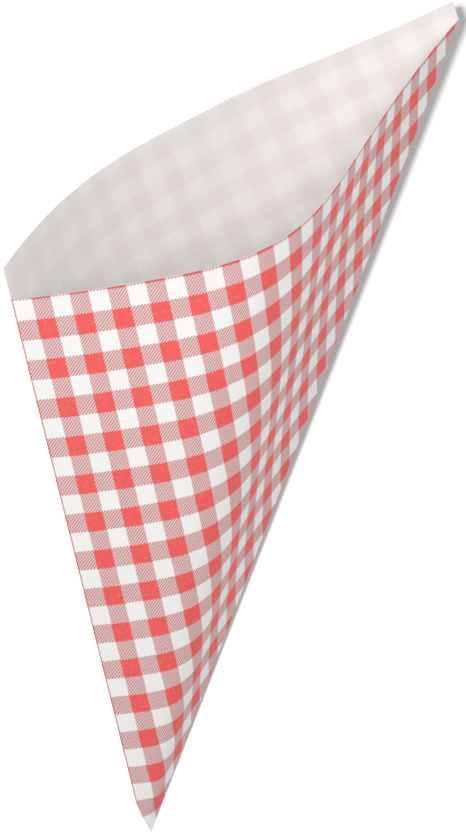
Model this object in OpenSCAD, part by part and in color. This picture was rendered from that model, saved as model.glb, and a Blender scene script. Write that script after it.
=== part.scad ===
// Paper cone: a pointed bag folded from one printed sheet, lying with its mouth open.
// The bag is a developable shell. Every straight line of the paper runs from the tip
// to the mouth, and each panel keeps its flat size, so it is only bent and never stretched.
// Axes: the bag lies on z = 0 on its back panel, its tip points to -Y, its mouth to +Y.
// The glued side edge is towards -X and the folded edge towards +X.

/* [Sheet] */
// Length of the glued side edge, from the untrimmed corner to the mouth
leg_length = 195; // [150:1:250]
// Angle of the flat bag at its tip, between the side edge and the fold
tip_angle = 44.5; // [38:0.5:48]
// How far the back panel stands past the front panel at the side edge
lip_length = 10.5; // [5:0.5:20]
// Width of that lip at the fold, as a share of its length at the side edge
lip_share = 0.6; // [0.2:0.05:1]
// Thickness of the paper wall
sheet_t = 0.25; // [0.15:0.05:0.5]

/* [Trimmed tip] */
// How much of the corner is cut away along the side edge
trim_side = 15.5; // [10:0.5:24]
// How much of the corner is cut away along the fold
trim_fold = 4; // [3:0.5:8]
// How far past the cut the two panels lie shut on each other
shut_length = 4; // [3:0.5:10]

/* [Front panel] */
// Bend of the long ridge, in degrees
ridge_angle = 67; // [50:1:72]
// Where the ridge lies, from the side edge (0) to the fold (1)
ridge_share = 0.49; // [0.44:0.01:0.58]
// Half the width of the ridge, as a share of the panel
ridge_spread = 0.28; // [0.22:0.01:0.38]
// Bend of the panel near the side edge, in degrees
side_angle = 11; // [5:1:32]
// Hollow bend of the panel near the fold, in degrees
hollow_angle = 12; // [6:1:28]

/* [Back panel] */
// Curvature of the back at the side edge, as a share of that at the fold
back_share = 0.055; // [0.03:0.005:0.4]
// Middle of the flat strip that the bag rests on, from the side edge (0) to the fold (1)
rest_share = 0.573; // [0.54:0.001:0.6]
// Width of the flat strip that the bag rests on, as an angle at the tip
rest_angle = 4.4; // [3:0.2:7]

/* [Hidden] */

// Number of straight lines in each stretch of the panels, and the first angle in degrees.
front_cols = 44;
back_cols = 20;
rest_cols = 3;
solve_steps = 26;
most_scale = 9;
first_angle = 2;

// The mouth of the front panel is square to the side edge.
mouth_edge = leg_length * tan(tip_angle);
back_side = leg_length + lip_length;
lip_slope = lip_length * (1 - lip_share) / mouth_edge;
lip_corner = atan2(mouth_edge, leg_length + lip_length * lip_share);

// A frame is three rows: along the paper, across it, and square to it.
start = [[1, 0, 0], [0, 1, 0], [0, 0, 1]];

// One step of a strip of paper of angle h (degrees) that bends at the rate k.
function turn(k, h) =
    let (w = sqrt(1 + k * k), c1 = sin(w * h) / w, c2 = (1 - cos(w * h)) / (w * w))
    [[1 - c2, c1, c2 * k],
     [-c1, 1 - c2 * (1 + k * k), c1 * k],
     [c2 * k, -c1 * k, 1 - c2 * k * k]];

// Frames at the given angles, where rate(side, t) is the bending rate of the panel.
function frames(angles, front, scale_k, first) =
    [for (i = 0, f = first; i < len(angles);
          i = i + 1,
          f = i < len(angles)
              ? turn(scale_k * rate(front, (angles[i] + angles[i - 1]) / 2 / tip_angle),
                     angles[i] - angles[i - 1]) * f
              : f)
        f];

// Bending rates of the two panels, with t from 0 at the side edge to 1 at the fold.
function rate(front, t) = front ? front_rate(t) : back_rate(t);
function front_rate(t) =
    let (u = max(-1, min(1, (t - ridge_share) / ridge_spread)))
    ridge_angle / (ridge_spread * tip_angle) * (1 + cos(180 * u)) / 2
    + 4 * side_angle / tip_angle * pow(1 - t, 3)
    - 5 * hollow_angle / tip_angle * pow(t, 4);
function back_rate(t) =
    abs(t - rest_share) * tip_angle < rest_angle / 2 ? 0 : -(back_share + (1 - back_share) * t);

// Angles of the paper's straight lines. The back has one at the corner of its lip.
function spread(lo, hi, n) = [for (i = [0 : n]) lo + (hi - lo) * i / n];
front_angles = concat([0], spread(first_angle, tip_angle - first_angle, front_cols), [tip_angle]);
rest_lo = rest_share * tip_angle - rest_angle / 2;
rest_hi = rest_share * tip_angle + rest_angle / 2;
back_angles = concat(
    [0],
    spread(first_angle, rest_lo, back_cols),
    [for (i = [1 : rest_cols]) rest_lo + (rest_hi - rest_lo) * i / rest_cols],
    [for (i = [1 : back_cols]) rest_hi + (lip_corner - rest_hi) * i / back_cols],
    [tip_angle]);

// The front panel by itself gives the angle between the two edges of the opened bag.
front_local = frames(front_angles, true, 1, start);
edge_angle = acos(front_local[0][0] * last(front_local)[0]);
function last(list) = list[len(list) - 1];

// The back panel is bent just as much as makes its edges meet those of the front.
function back_edge_angle(k) =
    let (f = frames(back_angles, false, k, start)) acos(f[0][0] * last(f)[0]);
function solve(lo, hi, n) =
    let (mid = (lo + hi) / 2)
    n == 0 ? mid : back_edge_angle(mid) > edge_angle ? solve(mid, hi, n - 1) : solve(lo, mid, n - 1);
back_scale = solve(0, most_scale, solve_steps);
back_local = frames(back_angles, false, back_scale, start);

// The back is laid with its flat strip on the ground, the strip running along Y.
rest_col = back_cols + 1 + floor(rest_cols / 2);
rest_frame = turn(0, (back_angles[rest_col + 1] - back_angles[rest_col]) / 2) * back_local[rest_col];
ground = [rest_frame[1], rest_frame[0], -rest_frame[2]];
function place(m, f) = [m * f[0], m * f[1], m * f[2]];
back_frames = [for (f = back_local) place(ground, f)];

// The front is turned so that both its edges lie on the edges of the back.
function unit(v) = v / norm(v);
function base(a, b) = [unit(a + b), unit(b - a), cross(unit(a + b), unit(b - a))];
function transposed(m) = [for (i = [0 : 2]) [for (j = [0 : 2]) m[j][i]]];
seat = transposed(base(back_frames[0][0], last(back_frames)[0]))
     * base(front_local[0][0], last(front_local)[0]);
front_frames = [for (f = front_local) place(seat, f)];

// Directions into the bag, square to the paper. At an edge the two walls share a mitre.
front_in = [for (f = front_frames) f[2]];
back_in = [for (f = back_frames) -f[2]];
function mitre(a, b) = (a + b) / (1 + a * b);
side_in = mitre(front_in[0], back_in[0]);
fold_in = mitre(last(front_in), last(back_in));
function edged(list) =
    [for (i = [0 : len(list) - 1]) i == 0 ? side_in : i == len(list) - 1 ? fold_in : list[i]];

// Distance from the tip, along each straight line, of the cut, the inside and the mouth.
cut_a = 1 / trim_side;
cut_b = (1 / trim_fold - cos(tip_angle) / trim_side) / sin(tip_angle);
function cut_at(a) = 1 / (cut_a * cos(a) + cut_b * sin(a));
function inside_at(a) =
    let (near = min(a, tip_angle - a))
    max(50 * sheet_t, cut_at(a) + shut_length, near > 0.01 ? 1.3 * sheet_t / sin(near) : 0);
function front_top(a) = leg_length / cos(a);
function back_top(a) =
    a < lip_corner ? back_side / (cos(a) + lip_slope * sin(a)) : mouth_edge / max(sin(a), 0.01);

// Points of one wall: the cut, the mouth, and the same two on the inside.
shift = [0, -0.7 * leg_length, 0];
function ring(frames, dirs, angles, kind) =
    [for (i = [0 : len(angles) - 1])
        let (a = angles[i],
             top = kind[0] ? front_top(a) : back_top(a),
             r = kind[1] ? (kind[2] ? top : inside_at(a)) : (kind[2] ? top : cut_at(a)))
        frames[i][0] * r + (kind[1] ? dirs[i] * sheet_t : [0, 0, 0]) + shift];

nf = len(front_angles);
nb = len(back_angles);
front_dirs = edged(front_in);
back_dirs = edged(back_in);

function mean(list) = [for (k = [0 : 2]) [for (p = list) 1] * [for (p = list) p[k]] / len(list)];

front_cut = ring(front_frames, front_dirs, front_angles, [true, false, false]);
front_mouth = ring(front_frames, front_dirs, front_angles, [true, false, true]);
front_cut_in = ring(front_frames, front_dirs, front_angles, [true, true, false]);
front_mouth_in = ring(front_frames, front_dirs, front_angles, [true, true, true]);
back_cut = ring(back_frames, back_dirs, back_angles, [false, false, false]);
back_mouth = ring(back_frames, back_dirs, back_angles, [false, false, true]);
back_cut_in = ring(back_frames, back_dirs, back_angles, [false, true, false]);
back_mouth_in = ring(back_frames, back_dirs, back_angles, [false, true, true]);

points = concat(
    front_cut, front_mouth, front_cut_in, front_mouth_in,
    back_cut, back_mouth, back_cut_in, back_mouth_in,
    [mean(concat(front_cut, back_cut)), mean(concat(front_cut_in, back_cut_in))]);

// Numbers of the points, by column. The edges that both panels share are the back's.
function fo0(i) = i == 0 ? bo0(0) : i == nf - 1 ? bo0(nb - 1) : i;
function fo1(i) = i == nf - 1 ? bo1(nb - 1) : nf + i;
function fi0(i) = i == 0 ? bi0(0) : i == nf - 1 ? bi0(nb - 1) : 2 * nf + i;
function fi1(i) = i == nf - 1 ? bi1(nb - 1) : 3 * nf + i;
function bo0(i) = 4 * nf + i;
function bo1(i) = 4 * nf + nb + i;
function bi0(i) = 4 * nf + 2 * nb + i;
function bi1(i) = 4 * nf + 3 * nb + i;
tip_point = 4 * nf + 4 * nb;
inside_point = tip_point + 1;

// Faces, counter-clockwise from outside until they are turned over at the end.
function quad(a, b, c, d) = [[a, b, c], [a, c, d]];
function joined(lists) = [for (l = lists) for (f = l) f];
front_faces = joined([for (i = [0 : nf - 2]) concat(
    quad(fo0(i), fo0(i + 1), fo1(i + 1), fo1(i)),
    quad(fi0(i + 1), fi0(i), fi1(i), fi1(i + 1)),
    quad(fo1(i), fo1(i + 1), fi1(i + 1), fi1(i)),
    [[fo0(i + 1), fo0(i), tip_point], [fi0(i), fi0(i + 1), inside_point]])]);
back_faces = joined([for (i = [0 : nb - 2]) concat(
    i == 0 ? [] : quad(bo0(i), bo1(i), bo1(i + 1), bo0(i + 1)),
    i == 0 ? [] : quad(bi0(i + 1), bi1(i + 1), bi1(i), bi0(i)),
    quad(bo1(i), bi1(i), bi1(i + 1), bo1(i + 1)),
    [[bo0(i), bo0(i + 1), tip_point], [bi0(i + 1), bi0(i), inside_point]])]);
// The first column of the back carries the front's corner part way along its edge.
edge_faces = concat(
    [[bo0(0), fo1(0), bo0(1)], [fo1(0), bo1(1), bo0(1)], [fo1(0), bo1(0), bo1(1)]],
    [[bi0(0), bi0(1), fi1(0)], [fi1(0), bi0(1), bi1(1)], [fi1(0), bi1(1), bi1(0)]],
    quad(fo1(0), fi1(0), bi1(0), bo1(0)));
faces = [for (f = concat(front_faces, back_faces, edge_faces)) [f[2], f[1], f[0]]];

// The whole bag is one folded sheet.
module paper_cone() {
    color([0.95, 0.79, 0.78])
        polyhedron(points = points, faces = faces, convexity = 6);
}

paper_cone();
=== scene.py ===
"""Paper cone: a pointed bag folded from one printed sheet, lying with its mouth open.

Run by Blender as a script. The sheet is bent over a fan of straight lines that run from the
tip to the mouth, so it keeps its flat size, and the woven check is printed in flat measures.
"""

import math

import bpy
import numpy as np
from bpy.props import (
    FloatProperty,
    FloatVectorProperty,
    IntProperty,
    PointerProperty,
)
from mathutils import Matrix


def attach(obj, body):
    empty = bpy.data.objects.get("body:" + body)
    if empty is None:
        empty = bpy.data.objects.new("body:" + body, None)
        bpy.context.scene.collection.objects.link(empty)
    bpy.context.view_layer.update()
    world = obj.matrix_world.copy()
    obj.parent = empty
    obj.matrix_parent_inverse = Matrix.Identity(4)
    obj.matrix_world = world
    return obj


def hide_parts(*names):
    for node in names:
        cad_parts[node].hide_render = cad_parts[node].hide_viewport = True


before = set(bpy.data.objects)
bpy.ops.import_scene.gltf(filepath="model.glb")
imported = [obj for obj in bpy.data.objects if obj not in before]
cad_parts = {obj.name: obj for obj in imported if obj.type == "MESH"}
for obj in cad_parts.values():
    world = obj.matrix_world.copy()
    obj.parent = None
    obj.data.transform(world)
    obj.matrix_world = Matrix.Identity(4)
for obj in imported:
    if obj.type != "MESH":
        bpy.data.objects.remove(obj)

bl_info = {
    "name": "Paper Cone",
    "version": (1, 0, 0),
    "blender": (4, 5, 0),
    "location": "View3D > Sidebar > Paper Cone",
    "description": "Folds a printed paper cone and sets a plain studio round it",
    "category": "Add Mesh",
}

SHEET_MAP = "sheet"
MM = 0.001

# Room for one node in a tree's picture
NODE_WIDTH, NODE_HEIGHT = 190, 170


# Node trees


class Wire:
    """A socket in a node tree, with the usual operators, so that node maths reads as maths."""

    def __init__(self, tree, socket, column=0):
        self.tree, self.socket, self.column = tree, socket, column

    def node(self, kind, inputs=None, output=0, **settings):
        """Adds any node, with its inputs by name, identifier or number, and gives an output."""
        made = self.tree.nodes.new(kind)
        for name, value in settings.items():
            setattr(made, name, value)
        column = self.column
        for key, value in (inputs or {}).items():
            socket = pick(made.inputs, key)
            if isinstance(value, Wire):
                column = max(column, value.column)
                self.tree.links.new(value.socket, socket)
            else:
                socket.default_value = value
        above = sum(1 for n in self.tree.nodes if round(n.location.x / NODE_WIDTH) == column + 1)
        made.location = ((column + 1) * NODE_WIDTH, -NODE_HEIGHT * above)
        return Wire(self.tree, pick(made.outputs, output), column + 1)

    def more(self, output):
        """Another output of the node that this wire comes from."""
        return Wire(self.tree, pick(self.socket.node.outputs, output), self.column)

    def maths(self, operation, *others):
        values = dict(enumerate((self, *others)))
        return self.node("ShaderNodeMath", values, operation=operation)

    def vector_maths(self, operation, *others):
        values = dict(enumerate((self, *others)))
        return self.node("ShaderNodeVectorMath", values, operation=operation)

    def __add__(self, other):
        return self.maths("ADD", other)

    def __sub__(self, other):
        return self.maths("SUBTRACT", other)

    def __mul__(self, other):
        return self.maths("MULTIPLY", other)

    def __truediv__(self, other):
        return self.maths("DIVIDE", other)

    def __rsub__(self, other):
        return (self * -1.0) + other

    def __rtruediv__(self, other):
        return self.maths("POWER", -1.0) * other

    def __gt__(self, other):
        return self.maths("GREATER_THAN", other)

    def __lt__(self, other):
        return self.maths("LESS_THAN", other)

    __radd__ = __add__
    __rmul__ = __mul__

    def ramp(self, low, high):
        """0 below low, 1 above high and smooth in between."""
        return self.node(
            "ShaderNodeMapRange",
            {"Value": self, "From Min": low, "From Max": high},
            interpolation_type="SMOOTHSTEP",
        )


def pick(sockets, key):
    """The socket of that number, identifier or name. Sockets that are switched off don't count."""
    if isinstance(key, int):
        return [s for s in sockets if s.enabled][key]
    for socket in sockets:
        if socket.enabled and key in (socket.identifier, socket.name):
            return socket
    raise KeyError(f"{key} isn't one of {[s.identifier for s in sockets if s.enabled]}")


def mixed(factor, low, high):
    """A colour between two colours."""
    return factor.node(
        "ShaderNodeMix",
        {"Factor_Float": factor, "A_Color": low, "B_Color": high},
        "Result_Color",
        data_type="RGBA",
    )


def rgba(colour):
    return (*colour, 1.0)


# Sizes and colours


class ConeSheetSettings(bpy.types.PropertyGroup):
    """Sizes of the flat sheet and the way it is bent."""

    side_edge: FloatProperty(
        name="Side edge",
        description="Length of the glued side edge, from the untrimmed corner to the mouth",
        default=0.195, min=0.1, max=0.4, unit="LENGTH",
    )
    tip_angle: FloatProperty(
        name="Tip angle",
        description="Angle of the flat bag at its tip, between the side edge and the fold",
        default=math.radians(44.5), min=math.radians(35), max=math.radians(50), subtype="ANGLE",
    )
    lip: FloatProperty(
        name="Lip",
        description="How far the back panel stands past the front panel at the side edge",
        default=0.0105, min=0.002, max=0.03, unit="LENGTH",
    )
    lip_share: FloatProperty(
        name="Lip at fold",
        description="Width of the lip at the fold, as a share of its length at the side edge",
        default=0.6, min=0.1, max=1, subtype="FACTOR",
    )
    thickness: FloatProperty(
        name="Thickness",
        description="Thickness of the paper",
        default=0.00014, min=0.00005, max=0.0005, unit="LENGTH",
    )
    trim_side: FloatProperty(
        name="Trim at side edge",
        description="How much of the corner is cut away along the side edge",
        default=0.0155, min=0.005, max=0.03, unit="LENGTH",
    )
    trim_fold: FloatProperty(
        name="Trim at fold",
        description="How much of the corner is cut away along the fold",
        default=0.004, min=0.002, max=0.02, unit="LENGTH",
    )
    pinch: FloatProperty(
        name="Pinched tip",
        description="Length over which the two panels come together at the tip",
        default=0.016, min=0.004, max=0.04, unit="LENGTH",
    )
    ridge_bend: FloatProperty(
        name="Ridge bend",
        description="Bend of the long ridge of the front panel",
        default=math.radians(67), min=math.radians(40), max=math.radians(72), subtype="ANGLE",
    )
    ridge_at: FloatProperty(
        name="Ridge place",
        description="Where the ridge lies, from the side edge (0) to the fold (1)",
        default=0.49, min=0.4, max=0.6, subtype="FACTOR",
    )
    ridge_spread: FloatProperty(
        name="Ridge spread",
        description="Half the width of the ridge, as a share of the panel",
        default=0.28, min=0.2, max=0.4, subtype="FACTOR",
    )
    side_bend: FloatProperty(
        name="Side bend",
        description="Bend of the front panel near the side edge",
        default=math.radians(11), min=0, max=math.radians(32), subtype="ANGLE",
    )
    fold_hollow: FloatProperty(
        name="Hollow at fold",
        description="Hollow bend of the front panel near the fold",
        default=math.radians(12), min=0, max=math.radians(28), subtype="ANGLE",
    )
    back_share: FloatProperty(
        name="Back share",
        description="Curvature of the back at the side edge, as a share of that at the fold",
        default=0.055, min=0.03, max=0.4, subtype="FACTOR",
    )
    rest_at: FloatProperty(
        name="Rest place",
        description="Middle of the flat strip that the bag rests on, from side edge to fold",
        default=0.573, min=0.5, max=0.62, subtype="FACTOR",
    )
    rest_angle: FloatProperty(
        name="Rest width",
        description="Width of the flat strip that the bag rests on, as an angle at the tip",
        default=math.radians(4.4), min=math.radians(2), max=math.radians(8), subtype="ANGLE",
    )
    ripple: FloatProperty(
        name="Ripple",
        description="Height of the soft ripples in the panels",
        default=0.0003, min=0, max=0.002, unit="LENGTH",
    )
    ripple_width: FloatProperty(
        name="Ripple width",
        description="Distance from one ripple to the next",
        default=0.035, min=0.01, max=0.1, unit="LENGTH",
    )
    columns: IntProperty(
        name="Columns",
        description="Straight lines in each panel",
        default=104, min=20, max=150,
    )
    rows: IntProperty(
        name="Rows",
        description="Rows of faces from the tip to the mouth",
        default=120, min=20, max=150,
    )
    lip_rows: IntProperty(
        name="Lip rows",
        description="Rows of faces in the lip",
        default=6, min=1, max=20,
    )
    seed: IntProperty(name="Seed", description="Picks the ripples", default=4, min=0)


class ConePrintSettings(bpy.types.PropertyGroup):
    """Measures of the woven check, and the colours of ink and paper."""

    check_width: FloatProperty(
        name="Check width",
        description="Width of one light and one coloured column together",
        default=0.011105, min=0.002, max=0.05, unit="LENGTH",
    )
    check_height: FloatProperty(
        name="Check height",
        description="Height of one light and one coloured row together",
        default=0.013207, min=0.002, max=0.05, unit="LENGTH",
    )
    column_start: FloatProperty(
        name="First column",
        description="Share of a check cut off at the side edge. Below 0, more of it shows",
        default=-0.036, min=-1, max=1,
    )
    row_start: FloatProperty(
        name="First row",
        description="Share of a check cut off at the mouth. Below 0, more of it shows",
        default=-0.031, min=-1, max=1,
    )
    print_turn: FloatProperty(
        name="Print turn",
        description="Turn of the printed rows against the mouth edge",
        default=math.radians(0.4), min=-0.1, max=0.1, subtype="ANGLE",
    )
    thread: FloatProperty(
        name="Thread",
        description="Distance between the slanted threads drawn in the pale squares",
        default=0.00074, min=0.0002, max=0.003, unit="LENGTH",
    )
    thread_slant: FloatProperty(
        name="Thread slant",
        description="Slant of the threads against the mouth edge",
        default=math.radians(48), min=0, max=math.radians(90), subtype="ANGLE",
    )
    thread_share: FloatProperty(
        name="Thread share",
        description="Share of a pale square that is inked",
        default=0.64, min=0, max=1, subtype="FACTOR",
    )
    paper: FloatVectorProperty(
        name="Paper",
        description="Colour of the bare paper outside",
        subtype="COLOR", size=3, min=0, max=1, default=(0.93, 0.915, 0.895),
    )
    ink: FloatVectorProperty(
        name="Ink",
        description="Colour of the full squares",
        subtype="COLOR", size=3, min=0, max=1, default=(0.92, 0.12, 0.11),
    )
    thread_ink: FloatVectorProperty(
        name="Thread ink",
        description="Colour of the slanted threads",
        subtype="COLOR", size=3, min=0, max=1, default=(0.622, 0.286, 0.287),
    )
    thread_gap: FloatVectorProperty(
        name="Thread gap",
        description="Colour of the paper between the slanted threads",
        subtype="COLOR", size=3, min=0, max=1, default=(0.838, 0.727, 0.713),
    )
    # Painted shade: the inside is a darker copy of the outside paper, for the shade inside the bag
    shaded_lining: FloatVectorProperty(
        name="Inside",
        description="Colour of the unprinted inside",
        subtype="COLOR", size=3, min=0, max=1, default=(0.85, 0.835, 0.815),
    )
    # Painted shade: as dark as the inside, with the check showing through
    show_through: FloatVectorProperty(
        name="Show-through",
        description="Colour of the inside over a full square",
        subtype="COLOR", size=3, min=0, max=1, default=(0.785, 0.72, 0.71),
    )


class ConeStudioSettings(bpy.types.PropertyGroup):
    """The floor, the lamps and the camera."""

    floor_size: FloatProperty(
        name="Floor size",
        description="Width of the floor",
        default=6.0, min=1, max=20, unit="LENGTH",
    )
    room_light: FloatProperty(
        name="Room light",
        description="Strength of the even light from all round",
        default=0.52, min=0, max=5,
    )
    soft_light: FloatProperty(
        name="Soft lamp",
        description="Power of the large lamp at the upper left, which lights all but the floor",
        default=1.93, min=0, max=100, unit="POWER",
    )
    floor_light: FloatProperty(
        name="Floor sun",
        description="Strength of the sun beside the camera, which lights only the floor",
        default=3.6, min=0, max=20,
    )
    focal_length: FloatProperty(
        name="Focal length",
        description="Focal length of the camera, in millimetres",
        default=154.21, min=20, max=300,
    )


# The fan of straight lines that the sheet is bent over

# Angle at the tip of the narrow strip along an edge
EDGE_STRIP = math.radians(2)
# Strips in the front, in the back on each side of the part it rests on, and in that part
FRONT_STRIPS, BACK_STRIPS, REST_STRIPS = 44, 20, 3
# Upper end of the search for the back's bend, and how often the search halves
MOST_BEND, HALVINGS = 9, 40
# One column in this many lies between the lip's corner and the fold
CORNER_COLUMNS = 16
# The back's ripples, as a share of the front's
BACK_RIPPLE = 0.4
# How far the tip lies behind the middle, as a share of the side edge
TIP_BEHIND = 0.7


def turned(bend, step):
    """Frame after a strip of paper of that angle which bends at the rate bend."""
    w = math.sqrt(1 + bend * bend)
    a, b = math.sin(w * step) / w, (1 - math.cos(w * step)) / (w * w)
    return np.array([
        [1 - b, a, b * bend],
        [-a, 1 - b * (1 + bend * bend), a * bend],
        [b * bend, -a * bend, 1 - b * bend * bend],
    ])


class Panel:
    """One panel, bent along its straight lines. A frame is three rows: along, across, square."""

    def __init__(self, angles, rate, start=np.eye(3)):
        self.angles = np.array(angles)
        self.rates = [rate((a + b) / 2) for a, b in zip(angles, angles[1:])]
        self.frames = [start]
        for a, b, bend in zip(angles, angles[1:], self.rates):
            self.frames.append(turned(bend, b - a) @ self.frames[-1])

    def at(self, angle):
        i = min(int(np.searchsorted(self.angles, angle, "right")) - 1, len(self.rates) - 1)
        return turned(self.rates[i], angle - self.angles[i]) @ self.frames[i]

    def opening(self):
        """Angle between the panel's two edges."""
        return math.acos(self.frames[0][0] @ self.frames[-1][0])

    def turn_to(self, matrix):
        self.frames = [f @ matrix.T for f in self.frames]


def unit(v):
    return v / np.linalg.norm(v)


def base(a, b):
    return np.array([unit(a + b), unit(b - a), np.cross(unit(a + b), unit(b - a))])


def mitre(a, b):
    return (a + b) / (1 + a @ b)


def bent_panels(s):
    """The front and the back panel, laid so that the back rests on the ground."""
    tip = s.tip_angle
    lip_corner = math.atan2(s.side_edge * math.tan(tip), s.side_edge + s.lip * s.lip_share)
    low, high = s.rest_at * tip - s.rest_angle / 2, s.rest_at * tip + s.rest_angle / 2

    def front_rate(angle):
        # Each of the three terms bends the panel by its own angle in all.
        t = angle / tip
        u = max(-1, min(1, (t - s.ridge_at) / s.ridge_spread))
        return (
            s.ridge_bend / (s.ridge_spread * tip) * (1 + math.cos(math.pi * u)) / 2
            + 4 * s.side_bend / tip * (1 - t) ** 3
            - 5 * s.fold_hollow / tip * t**4
        )

    def back_rate(angle):
        return 0 if low < angle < high else -(s.back_share + (1 - s.back_share) * angle / tip)

    front = Panel(
        [0, *np.linspace(EDGE_STRIP, tip - EDGE_STRIP, FRONT_STRIPS + 1), tip], front_rate
    )
    lines = [0, *np.linspace(EDGE_STRIP, low, BACK_STRIPS + 1)]
    lines += [*np.linspace(low, high, REST_STRIPS + 1)[1:]]
    lines += [*np.linspace(high, lip_corner, BACK_STRIPS + 1)[1:], tip]

    # The back is bent just as much as makes its edges meet those of the front.
    least, most = 0, MOST_BEND
    for _ in range(HALVINGS):
        middle = (least + most) / 2
        back = Panel(lines, lambda angle: middle * back_rate(angle))
        least, most = (middle, most) if back.opening() > front.opening() else (least, middle)

    along, across, square = back.at((low + high) / 2)
    back.turn_to(np.array([across, along, -square]))
    ours = base(front.frames[0][0], front.frames[-1][0])
    theirs = base(back.frames[0][0], back.frames[-1][0])
    front.turn_to(theirs.T @ ours)
    return front, back, lip_corner


def make_fan(s):
    """A line of points, one for each straight line of the paper, from the front's side edge over
    the fold to the back's. Each point is a direction from the tip, with its measures."""
    front, back, lip_corner = bent_panels(s)
    tip, mouth = s.tip_angle, s.side_edge * math.tan(s.tip_angle)
    lip_slope = s.lip * (1 - s.lip_share) / mouth
    corner = s.columns // CORNER_COLUMNS
    angles = np.linspace(0, lip_corner, s.columns - corner + 1)
    angles = [*angles, *np.linspace(lip_corner, tip, corner + 1)[1:]]
    front_at, back_at = [front.at(a) for a in angles], [back.at(a) for a in angles]
    front_in, back_in = [f[2] for f in front_at], [-f[2] for f in back_at]
    front_in[0] = back_in[0] = mitre(front_in[0], back_in[0])
    front_in[-1] = back_in[-1] = mitre(front_in[-1], back_in[-1])

    across_cut = (1 / s.trim_fold - math.cos(tip) / s.trim_side) / math.sin(tip)
    points = []
    order = [(i, True) for i in range(len(angles))]
    order += [(i, False) for i in range(len(angles) - 2, -1, -1)]
    for i, is_front in order:
        a = angles[i]
        join = s.side_edge / math.cos(a)
        top = join
        if not is_front and a < lip_corner:
            top = (s.side_edge + s.lip) / (math.cos(a) + lip_slope * math.sin(a))
        elif not is_front:
            top = mouth / math.sin(a)
        points.append({
            "along": front_at[i][0] if is_front else back_at[i][0],
            "inward": front_in[i] if is_front else back_in[i],
            "between": (front_at[i][0] + back_at[i][0]) / 2,
            "angle": a if is_front else 2 * tip - a,
            "cut": 1 / (math.cos(a) / s.trim_side + across_cut * math.sin(a)),
            "join": join,
            "top": max(top, join),
            "calm": math.sin(math.pi * a / tip) * (1 if is_front else BACK_RIPPLE),
            "seam": 1.0 if i == 0 else 0.0,
        })

    fan = bpy.data.meshes.new("fan")
    fan.from_pydata([p["along"] for p in points], [], [])
    for name in points[0]:
        values = np.array([p[name] for p in points], np.float32)
        kind = "FLOAT_VECTOR" if values.ndim == 2 else "FLOAT"
        attribute = fan.attributes.new(name, kind, "POINT")
        attribute.data.foreach_set("vector" if values.ndim == 2 else "value", values.ravel())
    return fan


# The sheet

# Shares of the pinched length: where the inner faces start, and over which they come together
INNER_START, INNER_SHUT = 0.45, 0.4
SAME_PLACE = 0.002 * MM
SHARP_EDGE = math.radians(35)
FEWEST_FACES = 1000


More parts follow.
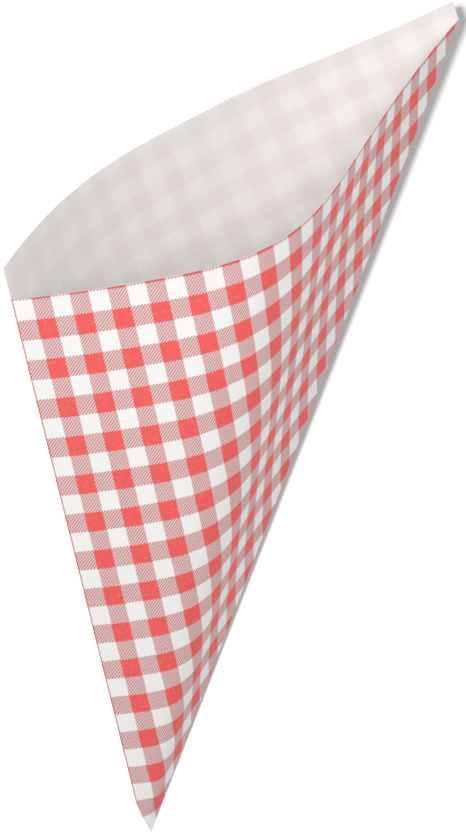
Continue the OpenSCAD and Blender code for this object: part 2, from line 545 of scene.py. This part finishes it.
def sheet_tree():
    """Geometry Nodes that lay both sides of a sheet of paper over a fan, closed at seam and tip."""
    tree = bpy.data.node_groups.new("Sheet over a fan", "GeometryNodeTree")
    tree.is_modifier = True
    face = tree.interface
    face.new_socket("Fan", in_out="INPUT", socket_type="NodeSocketGeometry")
    for name, kind, value in (
        ("Rows", "Int", 120),
        ("Lip Rows", "Int", 6),
        ("Thickness", "Float", 0.00014),
        ("Pinch", "Float", 0.016),
        ("Ripple", "Float", 0.0003),
        ("Ripple Width", "Float", 0.035),
        ("Seed", "Int", 0),
        ("Tip Place", "Vector", (0, 0, 0)),
        ("Outside", "Material", None),
        ("Inside", "Material", None),
        ("Cut Edge", "Material", None),
    ):
        socket = face.new_socket(name, in_out="INPUT", socket_type="NodeSocket" + kind)
        if value is not None:
            socket.default_value = value
    face.new_socket("Sheet", in_out="OUTPUT", socket_type="NodeSocketGeometry")
    given = Wire(tree, tree.nodes.new("NodeGroupInput").outputs["Fan"])
    rows, lip_rows = given.more("Rows"), given.more("Lip Rows")

    # A grid: its columns are the lines of the fan, and its rows go up outside and down inside.
    lines = given.node(
        "GeometryNodeAttributeDomainSize", {"Geometry": given}, "Point Count", component="MESH"
    )
    side_rows = rows + lip_rows + 1
    grid = given.node(
        "GeometryNodeMeshGrid",
        {"Size X": 1.0, "Size Y": 1.0, "Vertices X": lines, "Vertices Y": side_rows * 2},
        "Mesh",
    )
    position = given.node("GeometryNodeInputPosition")
    place = given.node("ShaderNodeSeparateXYZ", {0: position}, "X")
    column = ((place + 0.5) * (lines - 1)).maths("ROUND")
    row = ((place.more("Y") + 0.5) * (side_rows * 2 - 1)).maths("ROUND")
    inside = row > side_rows - 0.5
    up = row.maths("MINIMUM", side_rows * 2 - 1 - row)

    def of_fan(name, kind="FLOAT"):
        value = given.node("GeometryNodeInputNamedAttribute", {"Name": name}, data_type=kind)
        return given.node(
            "GeometryNodeSampleIndex",
            {"Geometry": given, "Value": value, "Index": column},
            data_type=kind,
            domain="POINT",
        )

    def scaled(vector, size):
        return vector.node(
            "ShaderNodeVectorMath", {"Vector": vector, "Scale": size}, operation="SCALE"
        )

    def between(factor, low, high):
        return factor.node(
            "ShaderNodeMix",
            {"Factor_Float": factor, "A_Vector": low, "B_Vector": high},
            "Result_Vector",
            data_type="VECTOR",
        )

    along, inward, middle = (of_fan(n, "FLOAT_VECTOR") for n in ("along", "inward", "between"))
    angle, cut, join, top = (of_fan(n) for n in ("angle", "cut", "join", "top"))
    calm, seam = of_fan("calm"), of_fan("seam")
    pinch = given.more("Pinch")

    # Distance from the tip, in the flat sheet.
    start = cut + inside * pinch * INNER_START
    body = (up / rows).maths("MINIMUM", 1.0)
    lip = (up - rows).maths("MAXIMUM", 0.0) / lip_rows
    reach = start + (join - start) * body + (top - join) * lip

    # Soft ripples, which fade at the edges and at the tip.
    flat = given.node(
        "ShaderNodeCombineXYZ",
        {"X": reach * angle.maths("SINE"), "Y": reach * angle.maths("COSINE")},
    )
    waves = given.node(
        "ShaderNodeTexNoise",
        {"Vector": flat, "W": given.more("Seed"), "Scale": 1.0 / given.more("Ripple Width"),
         "Detail": 1.0},
        0,
        noise_dimensions="4D",
    )
    open_tip = (reach - cut).ramp(0.0, pinch)
    ripple = (waves - 0.5) * 2.0 * given.more("Ripple") * calm * open_tip

    # The two panels come together at the tip, and so do their inner faces a little further on.
    outer = scaled(between(open_tip, middle, along), reach)
    wall = inside * (1.0 - seam * (up > rows - 0.5)) * given.more("Thickness")
    skin = outer.vector_maths("ADD", scaled(inward, wall + ripple))
    shut_inside = inside * (1.0 - (reach - start).ramp(0.0, pinch * INNER_SHUT))
    spot = between(shut_inside, skin, scaled(middle, reach))

    sheet = given.node(
        "GeometryNodeStoreNamedAttribute",
        {"Geometry": grid, "Name": SHEET_MAP, "Value": flat},
        data_type="FLOAT2",
        domain="CORNER",
    )
    # A face at the cut edge joins the last outer row to the first inner row.
    is_inner = given.node(
        "GeometryNodeStoreNamedAttribute",
        {"Geometry": sheet, "Name": "inner", "Value": (row > side_rows - 0.4)},
        data_type="FLOAT",
        domain="FACE",
    )
    is_edge = given.node(
        "GeometryNodeStoreNamedAttribute",
        {"Geometry": is_inner, "Name": "edge",
         "Value": 1.0 - (row - side_rows + 0.5).maths("ABSOLUTE").maths("GREATER_THAN", 0.3)},
        data_type="FLOAT",
        domain="FACE",
    )
    placed = given.node(
        "GeometryNodeSetPosition",
        {"Geometry": is_edge, "Position": spot.vector_maths("ADD", given.more("Tip Place"))},
    )
    closed = given.node(
        "GeometryNodeMergeByDistance", {"Geometry": placed, "Distance": SAME_PLACE}
    )
    smooth = given.node(
        "GeometryNodeSetShadeSmooth", {"Geometry": closed, "Shade Smooth": True}, domain="FACE"
    )
    turn = given.node("GeometryNodeInputMeshEdgeAngle", output="Unsigned Angle")
    creased = given.node(
        "GeometryNodeSetShadeSmooth",
        {"Geometry": smooth, "Selection": turn > SHARP_EDGE, "Shade Smooth": False},
        domain="EDGE",
    )
    out = given.node("GeometryNodeRealizeInstances", {"Geometry": creased})
    out = given.node("GeometryNodeSetMaterial", {"Geometry": out, "Material": given.more("Outside")})
    for name, label in (("inner", "Inside"), ("edge", "Cut Edge")):
        chosen = given.node(
            "GeometryNodeInputNamedAttribute", {"Name": name}, data_type="FLOAT"
        )
        out = given.node(
            "GeometryNodeSetMaterial",
            {"Geometry": out, "Selection": chosen > 0.5, "Material": given.more(label)},
        )
    end = tree.nodes.new("NodeGroupOutput")
    end.location = ((out.column + 1) * NODE_WIDTH, 0)
    tree.links.new(out.socket, end.inputs["Sheet"])
    return tree


def plain_mesh(obj, name):
    """The object's mesh with its modifiers applied, in a new object that has none."""
    seen = obj.evaluated_get(bpy.context.evaluated_depsgraph_get())
    mesh = bpy.data.meshes.new_from_object(seen)
    mesh.name = name
    old = obj.data
    obj.modifiers.clear()
    bpy.data.objects.remove(obj)
    bpy.data.meshes.remove(old)
    made = bpy.data.objects.new(name, mesh)
    bpy.context.scene.collection.objects.link(made)
    return made


# Paper and print

PAPER_SPECULAR = 0.3
# Tint of the painted shade along the side edge and over the ink along the mouth edge
EDGE_SHADE = (0.22, 0.15, 0.15)
# Width of the painted shade over the ink at the mouth edge and along the side edge
MOUTH_STRIP, SIDE_STRIP = 0.5 * MM, 0.35 * MM
# How far the edges of the ink wander, and how deep the threads tooth them, in checks
WANDER, TOOTH = 0.03, 0.03
# About the angle of the fold in the unfolded sheet, where the check shows through best
BEST_SEEN = 0.8


def new_finish(name):
    """A material, its surface shader and a wire for its nodes."""
    finish = bpy.data.materials.new(name)
    finish.use_nodes = True
    tree = finish.node_tree
    shader = tree.nodes["Principled BSDF"]
    shader.location = (14 * NODE_WIDTH, 0)
    tree.nodes["Material Output"].location = (16 * NODE_WIDTH, 0)
    flat = tree.nodes.new("ShaderNodeUVMap")
    flat.uv_map = SHEET_MAP
    return finish, shader, Wire(tree, flat.outputs["UV"])


def noise(flat, size, detail, seed):
    """Even noise over the flat sheet, from 0 to 1, whose lumps are about that size."""
    return flat.node(
        "ShaderNodeTexNoise",
        {"Vector": flat, "W": seed, "Scale": 1.0 / size, "Detail": detail},
        0,
        noise_dimensions="4D",
    )


def check_places(flat, p, side_edge):
    """Columns across and rows down from the mouth, counted in whole checks."""
    place = flat.node("ShaderNodeSeparateXYZ", {0: flat}, "X")
    x, y = place, place.more("Y")
    column = x / p.check_width + p.column_start
    row = (side_edge - y - x * math.tan(p.print_turn)) / p.check_height + p.row_start
    return x, y, column, row


def threads(x, y, p):
    """0 to 1 across each slanted thread."""
    slant = p.thread_slant
    return ((x * math.sin(slant) - y * math.cos(slant)) / p.thread).maths("FRACT")


def paper_bump(flat, strength, shader):
    """Fine fibres, small dimples and soft creases."""
    fibre = noise(flat, size=0.5 * MM, detail=3.0, seed=1.0)
    dimples = noise(flat, size=7 * MM, detail=2.0, seed=2.0)
    dents = noise(flat, size=22 * MM, detail=1.0, seed=3.0)
    folds = noise(flat, size=14 * MM, detail=2.0, seed=4.0) - 0.5
    creases = folds.maths("ABSOLUTE").ramp(0.0, 0.04)
    height = fibre * 0.05 + dimples * 0.6 + dents * 1.3 + creases * 0.1
    bump = flat.node(
        "ShaderNodeBump",
        {"Strength": strength, "Distance": 0.3 * MM, "Height": height},
        "Normal",
    )
    flat.tree.links.new(bump.socket, shader.inputs["Normal"])


def printed_face(p, s):
    """Uncoated white paper with a woven check printed on it."""
    finish, shader, flat = new_finish("printed_face")
    x, y, column, row = check_places(flat, p, s.side_edge)
    thread = threads(x, y, p)

    # Ink edges are toothed by the threads, and a little uneven.
    uneven = (noise(flat, size=0.9 * MM, detail=2.0, seed=5.0) - 0.5) * WANDER
    tooth = (thread - 0.5) * TOOTH
    in_column = ((column + uneven + tooth).maths("FRACT")) > 0.5
    in_row = ((row + uneven - tooth).maths("FRACT")) > 0.5
    full = in_column * in_row
    half = in_column.maths("MAXIMUM", in_row) - full
    inked = thread < p.thread_share

    cloud = noise(flat, size=5 * MM, detail=3.0, seed=6.0)
    paper = mixed(cloud.ramp(0.3, 0.7), rgba([c * 0.975 for c in p.paper]), rgba(p.paper))
    press = noise(flat, size=1.4 * MM, detail=3.0, seed=7.0)
    ink = mixed(press.ramp(0.35, 0.75), rgba([c * 0.93 for c in p.ink]), rgba(p.ink))
    scuffs = noise(flat, size=1.2 * MM, detail=3.0, seed=12.0).ramp(0.5, 0.8) * 0.12
    ink = mixed(scuffs, ink, paper)
    woven = mixed(inked, rgba(p.thread_gap), rgba(p.thread_ink))
    colour = mixed(full, mixed(half, paper, woven), ink)

    # Painted shade darkens the ink along the front's mouth edge and the paper along the side edge.
    mouth_shade = ((y + MOUTH_STRIP) > s.side_edge) * (x < y * math.tan(s.tip_angle))
    edge_shade = (mouth_shade * in_column).maths("MAXIMUM", x < SIDE_STRIP)
    colour = mixed(edge_shade * 0.4, colour, rgba(EDGE_SHADE))
    flat.tree.links.new(colour.socket, shader.inputs["Base Color"])

    rough = 0.78 - full * 0.12 + (press - 0.5) * 0.1
    flat.tree.links.new(rough.socket, shader.inputs["Roughness"])
    shader.inputs["Specular IOR Level"].default_value = PAPER_SPECULAR
    paper_bump(flat, 0.7, shader)
    return finish


def plain_inside(p, side_edge):
    """Unprinted side of the paper, where the check shows through faintly, in colours darker than the
    outside paper as painted shade inside the bag.
    """
    finish, shader, flat = new_finish("plain_inside")
    x, y, column, row = check_places(flat, p, side_edge)

    def band(place):
        # 1 in the middle of a coloured stripe and 0 in the middle of a light one
        return (1.0 - (place.maths("FRACT") - 0.75).maths("ABSOLUTE")
                .maths("PINGPONG", 0.5).ramp(0.18, 0.32))

    in_column, in_row = band(column), band(row)
    angle = x.maths("ARCTAN2", y)
    strength = noise(flat, size=30 * MM, detail=1.0, seed=9.0).ramp(0.1, 0.6) * 0.5 + 0.5
    strength = strength * (1.1 - (angle - BEST_SEEN).maths("ABSOLUTE") * 0.7)
    through = (in_column.maths("MAXIMUM", in_row) * 0.55 + in_column * in_row * 0.45) * strength
    cloud = noise(flat, size=6 * MM, detail=3.0, seed=8.0)
    paper = mixed(cloud.ramp(0.3, 0.7), rgba([c * 0.965 for c in p.shaded_lining]), rgba(p.shaded_lining))
    colour = mixed(through, paper, rgba(p.show_through))
    flat.tree.links.new(colour.socket, shader.inputs["Base Color"])
    rough = 0.72 + (cloud - 0.5) * 0.12
    flat.tree.links.new(rough.socket, shader.inputs["Roughness"])
    shader.inputs["Specular IOR Level"].default_value = PAPER_SPECULAR
    paper_bump(flat, 0.5, shader)
    return finish


def cut_edge(p):
    """The bare cut edge of the paper."""
    finish, shader, flat = new_finish("cut_edge")
    fibre = noise(flat, size=0.4 * MM, detail=2.0, seed=11.0)
    colour = mixed(fibre, rgba([c * 0.82 for c in p.paper]), rgba([c * 0.95 for c in p.paper]))
    flat.tree.links.new(colour.socket, shader.inputs["Base Color"])
    shader.inputs["Roughness"].default_value = 0.9
    return finish


class CONE_OT_fold_sheet(bpy.types.Operator):
    """Bends, folds and prints the sheet of the paper cone"""

    bl_idname = "cone.fold_sheet"
    bl_label = "Fold Printed Sheet"

    def execute(self, context):
        s, p = context.scene.cone_sheet, context.scene.cone_print
        holder = bpy.data.objects.new("sheet_fan", make_fan(s))
        context.scene.collection.objects.link(holder)
        modifier = holder.modifiers.new("Sheet", "NODES")
        modifier.node_group = sheet_tree()
        given = {
            "Rows": s.rows,
            "Lip Rows": s.lip_rows,
            "Thickness": s.thickness,
            "Pinch": s.pinch,
            "Ripple": s.ripple,
            "Ripple Width": s.ripple_width,
            "Seed": s.seed,
            "Tip Place": (0.0, -TIP_BEHIND * s.side_edge, 0.0),
            "Outside": printed_face(p, s),
            "Inside": plain_inside(p, s.side_edge),
            "Cut Edge": cut_edge(p),
        }
        for socket in modifier.node_group.interface.items_tree:
            if socket.in_out == "INPUT" and socket.name in given:
                modifier[socket.identifier] = given[socket.name]
        sheet = plain_mesh(holder, "printed_sheet")
        if len(sheet.data.polygons) < FEWEST_FACES:
            raise RuntimeError("the sheet has too few faces: its fan wasn't read")
        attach(sheet, "root")
        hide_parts("paper_cone")
        return {"FINISHED"}


# The studio

FLOOR_LEVEL = -0.4 * MM
FLOOR_COLOUR = (0.8, 0.8, 0.8)
LAMP_TARGET = (0.0, 0.02, 0.03)
SOFT_PLACE, SOFT_WIDTH = (-0.3, 0.18, 0.53), 0.3
SUN_PLACE, SUN_SPREAD = (-0.6888, 0.0640, 0.7945), math.radians(3.2)
CAMERA_PLACE = (-0.61319, 0.16380, 0.90407)
CAMERA_RIGHT = (0.8205235, 0.0518385, 0.5692574)
CAMERA_UP = (0.0432103, 0.9874048, -0.1521994)
CAMERA_BACK = (-0.5699772, 0.1494810, 0.8079489)
SENSOR_WIDTH = 36.0
NEAREST, FARTHEST = 0.01, 20.0


class CONE_OT_set_studio(bpy.types.Operator):
    """Lays a pale floor and sets the lamps and the camera"""

    bl_idname = "cone.set_studio"
    bl_label = "Set Studio"

    def execute(self, context):
        t = context.scene.cone_studio
        floor = self.lay_floor(t)
        self.light_room(t)
        self.hang_lamps(t, floor)
        self.aim_camera(t)
        return {"FINISHED"}

    def lay_floor(self, t):
        h = t.floor_size / 2
        corners = [(x, y, FLOOR_LEVEL) for x, y in ((-h, -h), (h, -h), (h, h), (-h, h))]
        mesh = bpy.data.meshes.new("floor")
        mesh.from_pydata(corners, [], [(0, 1, 2, 3)])
        floor = bpy.data.objects.new("floor", mesh)
        bpy.context.scene.collection.objects.link(floor)
        finish = bpy.data.materials.new("pale_floor")
        finish.use_nodes = True
        shader = finish.node_tree.nodes["Principled BSDF"]
        shader.inputs["Base Color"].default_value = rgba(FLOOR_COLOUR)
        shader.inputs["Roughness"].default_value = 0.9
        shader.inputs["Specular IOR Level"].default_value = 0.1
        mesh.materials.append(finish)
        return floor

    def light_room(self, t):
        world = bpy.data.worlds.new("room")
        bpy.context.scene.world = world
        world.use_nodes = True
        tree = world.node_tree
        even = tree.nodes["Background"]
        even.inputs["Strength"].default_value = t.room_light
        seen = tree.nodes.new("ShaderNodeBackground")
        ray = Wire(tree, tree.nodes.new("ShaderNodeLightPath").outputs["Is Camera Ray"])
        direct = ray.maths("MAXIMUM", ray.more("Is Glossy Ray"))
        direct = direct.maths("MAXIMUM", ray.more("Is Transmission Ray"))
        even.inputs["Color"].default_value = (1.0, 1.0, 1.0, 1.0)
        seen.inputs["Color"].default_value = (1.0, 1.0, 1.0, 1.0)
        both = tree.nodes.new("ShaderNodeMixShader")
        tree.links.new(direct.socket, both.inputs["Fac"])
        tree.links.new(even.outputs[0], both.inputs[1])
        tree.links.new(seen.outputs[0], both.inputs[2])
        tree.links.new(both.outputs[0], tree.nodes["World Output"].inputs["Surface"])

    def hang_lamps(self, t, floor):
        """The floor has a sun of its own, so that its shadow stays narrow and its rest white."""
        soft = bpy.data.lights.new("soft_lamp", "AREA")
        soft.shape, soft.size, soft.energy = "DISK", SOFT_WIDTH, t.soft_light
        sun = bpy.data.lights.new("floor_sun", "SUN")
        sun.angle, sun.energy = SUN_SPREAD, t.floor_light
        for light, place, state in (
            (soft, SOFT_PLACE, "EXCLUDE"),
            (sun, SUN_PLACE, "INCLUDE"),
        ):
            lamp = bpy.data.objects.new(light.name, light)
            self.aim(lamp, place, LAMP_TARGET)
            lit = bpy.data.collections.new(light.name + "_floor")
            lit.objects.link(floor)
            lit.collection_objects[0].light_linking.link_state = state
            lamp.light_linking.receiver_collection = lit

    def aim(self, lamp, place, target):
        bpy.context.scene.collection.objects.link(lamp)
        back = np.array(place) - np.array(target)
        side = unit(np.cross((0, 0, 1), back))
        up = unit(np.cross(back, side))
        turn = Matrix([side, up, unit(back)]).transposed().to_4x4()
        lamp.matrix_world = Matrix.Translation(place) @ turn

    def aim_camera(self, t):
        camera = bpy.data.objects.new("camera", bpy.data.cameras.new("camera"))
        bpy.context.scene.collection.objects.link(camera)
        turn = Matrix([CAMERA_RIGHT, CAMERA_UP, CAMERA_BACK]).transposed().to_4x4()
        camera.matrix_world = Matrix.Translation(CAMERA_PLACE) @ turn
        camera.data.lens = t.focal_length
        camera.data.sensor_width = SENSOR_WIDTH
        camera.data.sensor_fit = "AUTO"
        camera.data.clip_start, camera.data.clip_end = NEAREST, FARTHEST
        bpy.context.scene.camera = camera


class CONE_PT_sidebar(bpy.types.Panel):
    """Lists the paper cone's sizes and colours and the steps that make it"""

    bl_idname = "CONE_PT_sidebar"
    bl_label = "Paper Cone"
    bl_space_type = "VIEW_3D"
    bl_region_type = "UI"
    bl_category = "Paper Cone"

    def draw(self, context):
        for title, group, operator in (
            ("Sheet", context.scene.cone_sheet, None),
            ("Print", context.scene.cone_print, CONE_OT_fold_sheet.bl_idname),
            ("Studio", context.scene.cone_studio, CONE_OT_set_studio.bl_idname),
        ):
            box = self.layout.box()
            box.label(text=title)
            for name in group.__annotations__:
                box.prop(group, name)
            if operator:
                box.operator(operator)


CLASSES = (
    ConeSheetSettings,
    ConePrintSettings,
    ConeStudioSettings,
    CONE_OT_fold_sheet,
    CONE_OT_set_studio,
    CONE_PT_sidebar,
)


def register():
    for c in CLASSES:
        bpy.utils.register_class(c)
    bpy.types.Scene.cone_sheet = PointerProperty(type=ConeSheetSettings)
    bpy.types.Scene.cone_print = PointerProperty(type=ConePrintSettings)
    bpy.types.Scene.cone_studio = PointerProperty(type=ConeStudioSettings)


def unregister():
    del bpy.types.Scene.cone_studio
    del bpy.types.Scene.cone_print
    del bpy.types.Scene.cone_sheet
    for c in reversed(CLASSES):
        bpy.utils.unregister_class(c)


def main():
    register()
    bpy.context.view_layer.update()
    bpy.context.scene.view_settings.view_transform = "Standard"
    bpy.ops.cone.set_studio()
    bpy.ops.cone.fold_sheet()


if __name__ == "__main__":
    main()
